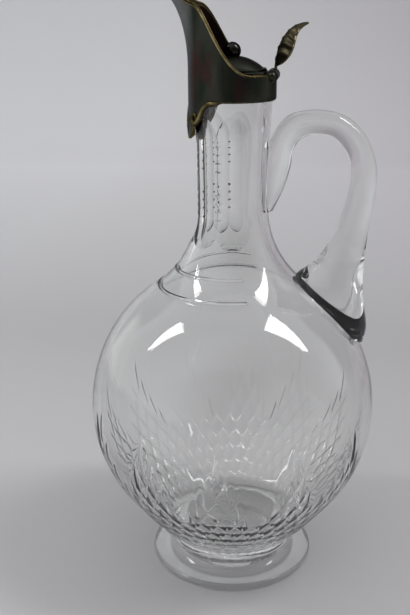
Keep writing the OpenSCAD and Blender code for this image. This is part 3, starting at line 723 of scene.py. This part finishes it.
def metal(name, dark, cloud, warm, bright, bare_at, roughness):
    """A patinated metal: two clouds over its dark ground, and bright metal where wear passes a level."""
    made, tree, sockets = material(name, {"Metallic": 1, "Specular Tint": (0.42, 0.42, 0.44, 1)})
    clouds = ramp(tree, noise(tree, 70, (1, 1, 0.35)), 0.42, 0.62)
    stains = ramp(tree, noise(tree, 110, (1, 1, 0.5), 6.0), 0.5, 0.68)
    ground = mix(tree, stains, mix(tree, clouds, dark, cloud), warm)
    # Painted shade: the sheet's inside is mixed towards a near-black red.
    ground = mix(tree, stored(tree, "inside"), ground, INSIDE_SHADE_COLOUR)
    patchy = calculate(tree, "ADD", stored(tree, "wear"),
                       calculate(tree, "MULTIPLY", ramp(tree, noise(tree, 260), 0.3, 0.7), 0.5))
    bare = ramp(tree, patchy, bare_at, bare_at + 0.45)
    # Painted sheen: where the stored mask is set, the colour goes to a pale bluish grey.
    ground = mix(tree, stored(tree, "painted_sheen"), ground, PAINTED_SHEEN_COLOUR)
    tree.links.new(mix(tree, bare, ground, bright), sockets["Base Color"])
    rough = ramp(tree, noise(tree, 190), 0.35, 0.65, roughness - 0.05, roughness + 0.09)
    tree.links.new(rough, sockets["Roughness"])
    pits = add_node(tree, "ShaderNodeBump", Height=noise(tree, 900, detail=3.0), Strength=0.12,
                    Distance=0.4 * MM)
    tree.links.new(pits.outputs[0], sockets["Normal"])
    return made


patina = metal("patina", (0.019, 0.023, 0.017), (0.042, 0.043, 0.034), (0.042, 0.021, 0.019),
               (0.2, 0.155, 0.07), 0.9, 0.32)
dark_polish = metal("dark_polish", (0.024, 0.021, 0.02), (0.034, 0.03, 0.027), (0.04, 0.024, 0.02),
                    (0.1, 0.08, 0.05), 0.95, 0.1)
worn_brass = metal("worn_brass", (0.036, 0.029, 0.014), (0.075, 0.058, 0.025), (0.05, 0.034, 0.017),
                   (0.36, 0.29, 0.14), 0.62, 0.3)
leaf_bronze = metal("leaf_bronze", (0.03, 0.027, 0.016), (0.055, 0.048, 0.029), (0.04, 0.032, 0.02),
                    (0.15, 0.13, 0.08), 0.55, 0.4)
plaster, tree, sockets = material("plaster", {"Roughness": 0.9})
grain = ramp(tree, noise(tree, 400), 0.3, 0.7)
tree.links.new(mix(tree, grain, (0.74, 0.71, 0.64), (0.83, 0.81, 0.76)), sockets["Base Color"])
SLOTS = {"bronze": patina, "worn_brass": worn_brass, "plaster": plaster}


# %% Finishing a piece, and dressing a copy of a frame node
def mark_wear(mesh, full_angle=1.2, extra=None):
    """Stores each point's wear from the sharpest outward edge at it, and from its place."""
    bm = bmesh.new()
    bm.from_mesh(mesh)
    values = []
    for vertex in bm.verts:
        angles = [e.calc_face_angle_signed(0) for e in vertex.link_edges]
        values.append(min(max([0, *angles]) / full_angle, 1) + (extra(vertex.co) if extra else 0))
    bm.free()
    store(mesh, "wear", values)


def finish_piece(piece, body, slot_name, *nodes, finish=None):
    piece.data.materials.clear()
    piece.data.materials.append(finish or SLOTS[slot_name])
    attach(piece, body)
    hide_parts(*nodes)


def dress(node, body, slot_name, bevel=0.2 * MM, sharp=35):
    """A copy of a frame node's mesh, its points merged, its edges softened and its wear marked."""
    mesh = frame["nodes"][node].data.copy()
    bm = bmesh.new()
    bm.from_mesh(mesh)
    bmesh.ops.remove_doubles(bm, verts=bm.verts, dist=2e-6)
    bmesh.ops.dissolve_limit(bm, angle_limit=0.002, verts=bm.verts, edges=bm.edges)
    hard = [e for e in bm.edges if e.calc_face_angle(0) > math.radians(30)]
    bmesh.ops.bevel(bm, geom=hard, offset=bevel, segments=2, affect="EDGES", profile=0.5,
                    clamp_overlap=True)
    bm.to_mesh(mesh)
    bm.free()
    smooth_by_angle(mesh, sharp)
    mark_wear(mesh)
    piece = new_object(node + "_finished", mesh)
    finish_piece(piece, body, slot_name, node)
    return piece


for node, body, slot_name in (
        ("neck_cement", "jug", "plaster"), ("mouth_ring", "jug", "bronze"),
        ("hinge_knuckles", "jug", "bronze"), ("hinge_pin", "jug", "worn_brass"),
        ("lid_plate", "lid", "bronze"), ("lid_locating_rim", "lid", "bronze"),
        ("lid_knuckle", "lid", "bronze"), ("lid_nut", "lid", "worn_brass")):
    piece = dress(node, body, slot_name)
    if node == "hinge_pin":  # its heads are as dark as the knuckles beside them
        piece.data.materials[0] = patina
    print(node, len(piece.data.polygons), "faces")

# %% [markdown]
# ## The sheet: collar, beak and apron
# On the real jug these are one skin of metal, cast or raised in parts and soldered with hidden seams.
# So one sheet runs from the apron's scalloped edge over the collar to the lip. Its outline follows
# rules, by the angle from the beak: a bell that draws the lip up and out, a fall that lets the rim sweep
# down to the lid, and a drop that gives the apron its scallops. A soft corner round the back of the
# collar's lower edge takes in the half-round bead.

# %% The rules of the sheet, with angles in degrees from the beak
SHEET = {"rise": 29.8 * MM, "lip": 7.2 * MM, "low": 0.3 * MM, "fall": (35, 125, 1.5), "half": 20,
         "reach": 13 * MM, "start": COLLAR_LOW + 13.6 * MM, "overrun": 1.01}
CURVE_H = COLLAR_TOP + SHEET["rise"] + SHEET["lip"] - SHEET["start"]
ELLIPSE_R = SHEET["reach"] / (1 - math.sqrt(1 - SHEET["overrun"] ** -2))
APRON_H, APRON_HALF = COLLAR_LOW - APRON_LOW, 82
APRON_EDGE = np.array([(0, 1), (0.17, 0.99), (0.29, 0.93), (0.38, 0.76), (0.44, 0.62), (0.52, 0.54),
                       (0.58, 0.48), (0.63, 0.35), (0.7, 0.15), (0.8, 0.05), (1, 0.02)])
BEAK_HALF, WIRE_R = 146, 0.8 * MM


def bell(a):
    return math.exp(-(a / SHEET["half"]) ** 2)


def rim_z(a):
    start, end, power = SHEET["fall"]
    t = clamped((abs(a) - start) / (end - start))
    fall = ((1 + math.cos(math.pi * t)) / 2) ** power
    return COLLAR_TOP + SHEET["low"] + (SHEET["rise"] - SHEET["low"]) * fall + SHEET["lip"] * bell(a)


def beak_r(a, z):
    t = clamped((z - SHEET["start"]) / (CURVE_H * SHEET["overrun"]))
    return COLLAR_R + ELLIPSE_R * (1 - math.sqrt(1 - t * t)) * bell(a)


def apron_drop(a):
    """Depth of the apron's edge below the collar, its corners eased over a few degrees."""
    near = [abs(abs(a) + k) / APRON_HALF for k in (-2, -1, 0, 1, 2)]
    return APRON_H * float(np.interp(near, *APRON_EDGE.T).mean()) if abs(a) <= APRON_HALF else 0


def on_mount(a, r, z):
    return -r * math.cos(math.radians(a)), -r * math.sin(math.radians(a)), z


def from_beak(point):
    return math.degrees(math.atan2(-point[1], -point[0]))


def sheet_ring(a):
    """The sheet's section at an angle: round its lower edge, up the outside and down the inside."""
    low = COLLAR_LOW - max(apron_drop(a), BEAD_R)
    soft = (0.45 + 0.7 * clamped((abs(a) - 70) / 25)) * MM
    top = rim_z(a) if abs(a) <= BEAK_HALF else COLLAR_TOP
    outside = [(COLLAR_R - soft + soft * math.cos(t), low + soft + soft * math.sin(t))
               for t in np.linspace(-math.pi / 2, 0, 6)]
    outside += [(COLLAR_R, z) for z in np.linspace(low + soft, COLLAR_TOP, 18)[1:]]
    upper = [COLLAR_TOP + (top - COLLAR_TOP) * (1 - (1 - i / 28) ** 1.3) for i in range(1, 29)]
    outside += [(beak_r(a, z), z) for z in upper]
    inside = [(beak_r(a, z) - SHEET_T, z) for z in upper[::-1]]
    inside += [(COLLAR_R - SHEET_T, z) for z in np.linspace(COLLAR_TOP, low, 10)]
    return [on_mount(a, r, z) for r, z in outside + inside]


def turned_on_hinge(name, profile, sides=64):
    """A solid turned about the hinge's axis from (radius, place along it) points."""
    turns = [2 * math.pi * k / sides for k in range(sides)]
    rings = [[(HINGE.x + r * math.cos(t), y, HINGE.z + r * math.sin(t)) for t in turns] for r, y in profile]
    return loft(name, rings)


BARREL_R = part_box("hinge_knuckles")[1].z - HINGE.z
BARREL_HALF, KNUCKLE_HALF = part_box("hinge_knuckles")[1].y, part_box("lid_knuckle")[1].y
GAP, HEAD_R, PIN_HALF = 0.3 * MM, 1.9 * MM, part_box("hinge_pin")[1].y
sheet = loft("mount_sheet", [sheet_ring(a) for a in np.arange(-180, 180.1, 1.25)], sharp=40, caps=False)
room = [(BARREL_R + GAP, KNUCKLE_HALF + GAP), (BARREL_R, KNUCKLE_HALF + GAP), (BARREL_R, BARREL_HALF),
        (HEAD_R + GAP, BARREL_HALF), (HEAD_R + GAP, PIN_HALF + GAP)]
cut(sheet, turned_on_hinge("hinge_room", [(r, -y) for r, y in room[::-1]] + room))
smooth_by_angle(sheet.data, 40)


def sheet_wear(point):
    """Rubbed lower edge and rim, on the outside of the sheet."""
    a = from_beak(point)
    low = COLLAR_LOW - max(apron_drop(a), BEAD_R)
    edge_share = max(0, 1 - (point.z - low) / (1.3 * MM))
    rim_share = max(0, 1 - (rim_z(a) - point.z) / (1.2 * MM)) if abs(a) <= BEAK_HALF else 0
    return 0.75 * edge_share + 0.5 * rim_share


mark_wear(sheet.data, extra=sheet_wear)
# The sheet's inside, which takes the painted shade in every metal.
inside = [float(math.hypot(v.co.x, v.co.y) < beak_r(from_beak(v.co), v.co.z) - 0.8 * SHEET_T)
          for v in sheet.data.vertices]
store(sheet.data, "inside", inside)
# Painted sheen on the outside of the beak's front. It is strongest at the beak and gone 42 degrees round.
painted_sheen = [(1 - hidden) * max(0, 1 - abs(from_beak(v.co)) / 42) ** 1.5
          for v, hidden in zip(sheet.data.vertices, inside)]
store(sheet.data, "painted_sheen", painted_sheen)
finish_piece(sheet, "jug", "bronze", "collar", "collar_bead", "beak", "apron")
print("sheet:", len(sheet.data.polygons), "faces")

# %% [markdown]
# ## Wire and mouldings
# A drawn wire is soldered along the beak's rim, and a moulding follows each side of the apron's edge and
# curls up in a scroll. Both are a round section swept along a path, which Geometry Nodes do: the path
# comes in as a line of points, each with its own width, and one tree makes both.

# %% One tree sweeps a round section along a path
def sweep_tree():
    tree, given, result = node_group("sweep", [("Sides", "Int"), ("Finish", "Material")])
    path = add_node(tree, "GeometryNodeMeshToCurve", Mesh=given.outputs["Geometry"])
    width = add_node(tree, "GeometryNodeInputNamedAttribute", Name="width")
    circle = add_node(tree, "GeometryNodeCurvePrimitiveCircle", Resolution=given.outputs["Sides"],
                      Radius=1.0)
    swept = add_node(tree, "GeometryNodeCurveToMesh", Curve=path.outputs[0],
                     Profile_Curve=circle.outputs[0], Scale=width.outputs[0], Fill_Caps=True)
    finish_tree(tree, swept.outputs[0], given.outputs["Finish"], result)
    return tree


SWEEP = sweep_tree()


def swept_piece(name, paths, sides=14):
    """Tubes along paths of (place, radius)."""
    points = [p for path in paths for p, width in path]
    starts = np.cumsum([0] + [len(path) for path in paths])
    edges = [(start + i, start + i + 1) for start, path in zip(starts, paths) for i in range(len(path) - 1)]
    mesh = bpy.data.meshes.new(name)
    mesh.from_pydata(points, edges, [])
    store(mesh, "width", [width for path in paths for p, width in path])
    piece = grown(new_object(name, mesh), SWEEP, Sides=sides, Finish=worn_brass)
    smooth_by_angle(piece.data, 50)
    return piece


TAIL_FROM, TAIL_RUN, TAIL_SINK = 88, 34, 0.8 * MM


def wire_z(a):
    """Height of the wire's middle, which sinks onto the collar's edge along its tail."""
    sunk = clamped((abs(a) - TAIL_FROM) / TAIL_RUN)
    return rim_z(a) + 0.9 * WIRE_R - TAIL_SINK * sunk * sunk * (3 - 2 * sunk)


def wire_wear(point):
    """The wire is worn bright along its outer side, most on the flanks of the beak."""
    a = from_beak(point)
    outward = (math.hypot(point.x, point.y) - beak_r(a, rim_z(a)) + SHEET_T / 2) / WIRE_R
    return 0.9 * max(0, outward) ** 4 * (0.1 + 0.9 * math.exp(-((abs(a) - 78) / 34) ** 2))


wire = swept_piece("rim_wire_finished", [[(on_mount(a, beak_r(a, rim_z(a)) - SHEET_T / 2, wire_z(a)), WIRE_R)
                                          for a in np.linspace(-BEAK_HALF, BEAK_HALF, 200)]])
mark_wear(wire.data, full_angle=6, extra=wire_wear)
finish_piece(wire, "jug", "worn_brass", "rim_wire")

MOULDING_R, SCROLL_R, SCROLL_ANGLE = 1.2 * MM, 2.6 * MM, 40


def moulding_path(side):
    """From the collar's side in along the apron's edge, then inwards round the scroll."""
    mm_a_degree = COLLAR_R * math.pi / 180
    middle = (SCROLL_ANGLE * mm_a_degree, COLLAR_LOW - apron_drop(SCROLL_ANGLE) + SCROLL_R)
    flat = [(a * mm_a_degree, COLLAR_LOW - apron_drop(a), min(0.35 + (APRON_HALF - a) / 18, 1))
            for a in np.linspace(APRON_HALF, SCROLL_ANGLE, 40)]
    for t in np.linspace(0, 1, 44)[1:]:
        turn, r = -math.pi / 2 - 1.9 * math.pi * t, SCROLL_R * (1 - 0.72 * t)
        flat.append((middle[0] + r * math.cos(turn), middle[1] + r * math.sin(turn), 1 - 0.6 * t))
    return [(on_mount(side * x / mm_a_degree, COLLAR_R + 0.1 * MM, z), MOULDING_R * w) for x, z, w in flat]


mouldings = swept_piece("mouldings", [moulding_path(1), moulding_path(-1)])
mark_wear(mouldings.data, full_angle=6,
          extra=lambda p: 0.36 * max(0, (math.hypot(p.x, p.y) - COLLAR_R) / MOULDING_R) ** 2)
finish_piece(mouldings, "jug", "worn_brass", "apron_moulding")
print("wire:", len(wire.data.polygons), "faces; mouldings:", len(mouldings.data.polygons), "faces")

# %% [markdown]
# ## Leaves
# The leaf on the apron is cast thin and soldered on: shouldered, blunt at its tip, ridged down its middle
# and veined to its edges. The thumbpiece is a leaf too, arched over its midrib, its edge cut in lobes.
# Both are lofted from rows across the leaf, and a vein is a small rise wherever the row and the distance
# from the midrib meet a slanting line.

# %% Veins, and the leaf on the apron
def veins(t, k, count, slant):
    """Height of the side veins at a share of the leaf's length and of its half width."""
    phase = (t * count - abs(k) * slant) % 1
    return max(0, 1 - abs(phase - 0.5) * 4) * (1 - abs(k)) ** 0.4


LEAF_H, LEAF_W, LEAF_T = 14.5 * MM, 8.6 * MM, 1.0 * MM
LEAF_SHAPE = np.array([(0, 0.16), (0.1, 0.62), (0.22, 0.88), (0.35, 1), (0.5, 0.93), (0.65, 0.8),
                       (0.8, 0.66), (0.92, 0.46), (1, 0.12)])


def apron_leaf_rings():
    rings = []
    for t in np.linspace(0, 1, 44):
        near = np.clip(t + np.array([-0.03, 0, 0.03]), 0, 1)
        half = LEAF_W * float(np.interp(near, *LEAF_SHAPE.T).mean())
        z, rise = COLLAR_LOW - APRON_H + LEAF_H * (1 - t), LEAF_T * (0.35 + 0.65 * math.sin(math.pi * t))
        ring = []
        for k in np.linspace(-1, 1, 41):
            swell = (1 - abs(k) ** 1.6) * (0.62 + 0.14 * veins(t, k, 5.5, 1.4))
            ridge = 0.24 * math.exp(-(k / 0.09) ** 2)
            height = COLLAR_R + 0.05 * MM + rise * (swell + ridge)
            ring.append(on_mount(math.degrees(half * k / COLLAR_R), height, z))
        ring += [on_mount(math.degrees(half * k / COLLAR_R), COLLAR_R - 0.1 * MM, z)
                 for k in (0.97, 0.5, 0, -0.5, -0.97)]
        rings.append(ring)
    return rings


apron_leaf = loft("apron_leaf_finished", apron_leaf_rings(), sharp=35)
mark_wear(apron_leaf.data, full_angle=2, extra=lambda p: 0.5 * (math.hypot(p.x, p.y) - COLLAR_R) / LEAF_T)
finish_piece(apron_leaf, "jug", "worn_brass", "apron_leaf")

# %% The thumbpiece
THUMB = {"reach": 15.3, "rise": 22.6, "half": 5.8, "droop": 5.4, "t": 1.2, "stem": 1.5,
         "root": (0.6, 1.96)}
THUMB_START = 0.06


def midrib(t):
    root_x, root_z = THUMB["root"]
    return np.array([root_x + (THUMB["reach"] - root_x) * t ** 1.8,
                     root_z + (THUMB["rise"] - root_z) * math.sin(math.pi / 2 * t ** 0.92)])


def thumb_rings():
    rings = []
    for t in np.linspace(0, 1, 60):
        p, run = midrib(t), midrib(min(t + 0.02, 1)) - midrib(max(t - 0.02, 0))
        down = np.array([run[1], -run[0]]) / np.linalg.norm(run)
        leaf = max((t - THUMB_START) / (1 - THUMB_START), 0)
        spread = math.sin(math.pi * leaf ** 0.56)
        lobes = 1 + 0.08 * math.cos(2 * math.pi * 5.5 * leaf)
        half = THUMB["stem"] * (1 - 0.85 * leaf) + THUMB["half"] * spread * lobes
        fallen, thick = THUMB["droop"] * spread, THUMB["t"] * (1 - 0.4 * leaf)
        ring = []
        for k in np.linspace(-1, 1, 33):
            swell = 0.4 * spread * (veins(leaf, k, 6, 1.2) + math.exp(-(k / 0.1) ** 2))
            ring.append((*(p + down * (fallen * k * k + 0.4 * spread - swell)), half * k))
        for k in np.linspace(1, -1, 17):
            swell = 0.2 * spread * (1 - veins(leaf, k, 6, 1.2)) * (1 - abs(k))
            ring.append((*(p + down * (fallen * k * k + max(thick, 0.9) - swell)), half * k))
        rings.append([(HINGE.x + x * MM, y * MM, HINGE.z + z * MM) for x, z, y in ring])
    return rings


thumb = loft("thumbpiece_finished", thumb_rings(), sharp=35)
cut(thumb, turned_on_hinge("barrel_room", [(BARREL_R, -2 * KNUCKLE_HALF), (BARREL_R, 2 * KNUCKLE_HALF)]))
smooth_by_angle(thumb.data, 35)
mark_wear(thumb.data, full_angle=1.6)
finish_piece(thumb, "lid", "bronze", "thumbpiece", finish=leaf_bronze)
print("leaf:", len(apron_leaf.data.polygons), "faces; thumbpiece:", len(thumb.data.polygons), "faces")

# %% [markdown]
# ## Dome and ball
# The lid's dome is spun from thin sheet and stands on a small step. The ball was cast with its shank,
# filed round, and screwed down through the dome.

# %% The dome with its step, and the ball
DOME_T, STEP, STEP_H = 0.9 * MM, 1.1 * MM, 1.3 * MM
dome_h = DOME_TOP - LID_TOP
sphere_r = (DOME_R ** 2 + dome_h ** 2) / (2 * dome_h)
spread = math.asin((DOME_R - STEP) / sphere_r)
SHANK_R = 1.2 * MM


def dome_point(r, angle):
    return r * math.sin(angle), DOME_TOP - sphere_r + r * math.cos(angle)


outer = [dome_point(sphere_r, t) for t in np.linspace(math.asin(SHANK_R / sphere_r), spread, 40)]
inner_start = math.asin(SHANK_R / (sphere_r - DOME_T))
inner_end = math.acos((LID_TOP - DOME_TOP + sphere_r) / (sphere_r - DOME_T))
inner = [dome_point(sphere_r - DOME_T, t) for t in np.linspace(inner_end, inner_start, 24)]
step = [(DOME_R - STEP, LID_TOP + STEP_H), (DOME_R - 0.3 * MM, LID_TOP + STEP_H),
        (DOME_R, LID_TOP + STEP_H - 0.3 * MM), (DOME_R, LID_TOP)]
outline = [p for p in outer if p[1] > step[0][1]] + step + inner
dome = lathe("dome_finished", outline + outline[:1], 128, sharp=35)
mark_wear(dome.data, full_angle=5)
finish_piece(dome, "lid", "bronze", "lid_dome")
ball = dress("lid_ball", "lid", "bronze", bevel=0.05 * MM)
ball.data.materials[0] = dark_polish
print("dome:", len(dome.data.polygons), "faces; ball:", len(ball.data.polygons), "faces")

# %% [markdown]
# ## The studio
# The jug stood on pale paper that sweeps up into a backdrop. Two soft boxes hung over it, whose tapering
# shapes show on the bowl's shoulder, with a weak window far to the left. Behind the camera the room was
# dim: that draws the dark lines in the glass and keeps the metal dark. The paper's own colour carries
# painted light and shade: lighter at the front, much lighter towards the back and up the backdrop,
# lighter round the foot and darker to the right.

# %% The floor, the lamps and the world
SWEEP_R = 0.5


def studio_sweep():
    side = [(-2.2, 0)] + [(1.3 + SWEEP_R * math.sin(a), SWEEP_R * (1 - math.cos(a)))
                          for a in np.linspace(0, math.pi / 2, 24)] + [(1.3 + SWEEP_R, 3.2)]
    points = [(x, y, z) for y, z in side for x in (-4, 4)]
    faces = [(2 * i, 2 * i + 1, 2 * i + 3, 2 * i + 2) for i in range(len(side) - 1)]
    return mesh_piece("studio", points, faces, 60)


studio = studio_sweep()
paper, tree, sockets = material("studio_paper", {"Roughness": 0.9})
place = tree.nodes.new("ShaderNodeTexCoord").outputs["Object"]
split = add_node(tree, "ShaderNodeSeparateXYZ", Vector=place)
# Painted light: the paper's colour is lighter at the front, a little darker round the jug, and much lighter
# towards the back and up the backdrop.
near = ramp(tree, split.outputs["Y"], -0.2, 0.35, 0.52, 0.4)
painted_far_light = ramp(tree, split.outputs["Y"], 0.3, 1.2, 0, 0.34)
across = calculate(tree, "SQRT", calculate(
    tree, "ADD", *(calculate(tree, "POWER", split.outputs[axis], 2.0) for axis in "XY")))
# Painted light: the paper is made brighter round the foot, where the jug's shadow falls.
painted_light_under_foot = ramp(tree, across, 0.016, 0.044, 0.36, 0.0)
level = calculate(tree, "ADD", calculate(tree, "ADD", near, painted_far_light), painted_light_under_foot)
# Painted shade: the paper's colour darkens towards the right, to a slightly pink grey.
painted_right_shade = mix(tree, ramp(tree, split.outputs["X"], -0.35, 0.35), (1.02, 1.02, 1.03), (0.78, 0.75, 0.775))
scaled = tree.nodes.new("ShaderNodeVectorMath")
scaled.operation = "SCALE"
tree.links.new(painted_right_shade, scaled.inputs[0])
tree.links.new(level, scaled.inputs["Scale"])
tree.links.new(scaled.outputs[0], sockets["Base Color"])
studio.data.materials.append(paper)


def soft_panel(name, corners, level):
    """A soft box: a flat panel that glows evenly."""
    panel = new_object(name, bpy.data.meshes.new(name))
    panel.data.from_pydata(corners, [], [(0, 1, 2, 3)])
    glow = material(name + "_glow", {"Base Color": (0, 0, 0, 1), "Emission Color": (1, 1, 1, 1),
                                     "Emission Strength": level})[0]
    panel.data.materials.append(glow)


for name, level, corners in (
        ("box_right", 15, [(0.5, -0.17, 1.2), (0.5, 0.15, 1.2), (1.5, 0.03, 1.1), (1.5, -0.03, 1.1)]),
        ("box_left", 15, [(-0.75, -0.22, 1.2), (-0.75, 0.0, 1.2), (-1.8, -0.1, 1.1), (-1.8, -0.14, 1.1)]),
        ("window", 0.9, [(-1.6, 0.2, 0.0), (-1.6, 1.3, 0.0), (-1.6, 1.3, 0.8), (-1.6, 0.2, 0.8)])):
    soft_panel(name, corners, level)

world = bpy.data.worlds.new("room")
bpy.context.scene.world = world
world.use_nodes = True
tree = world.node_tree
place = tree.nodes.new("ShaderNodeTexCoord").outputs["Generated"]
towards = add_node(tree, "ShaderNodeSeparateXYZ", Vector=place)
behind = ramp(tree, calculate(tree, "SUBTRACT", calculate(tree, "MULTIPLY", towards.outputs["X"], 0.5),
                              calculate(tree, "MULTIPLY", towards.outputs["Y"], 0.85)), 0.28, 0.8)
tree.links.new(mix(tree, behind, (0.96, 0.97, 1.0), (0.2, 0.2, 0.205)),
               tree.nodes["Background"].inputs["Color"])

# %% The end
bpy.context.scene.view_settings.view_transform = "Standard"
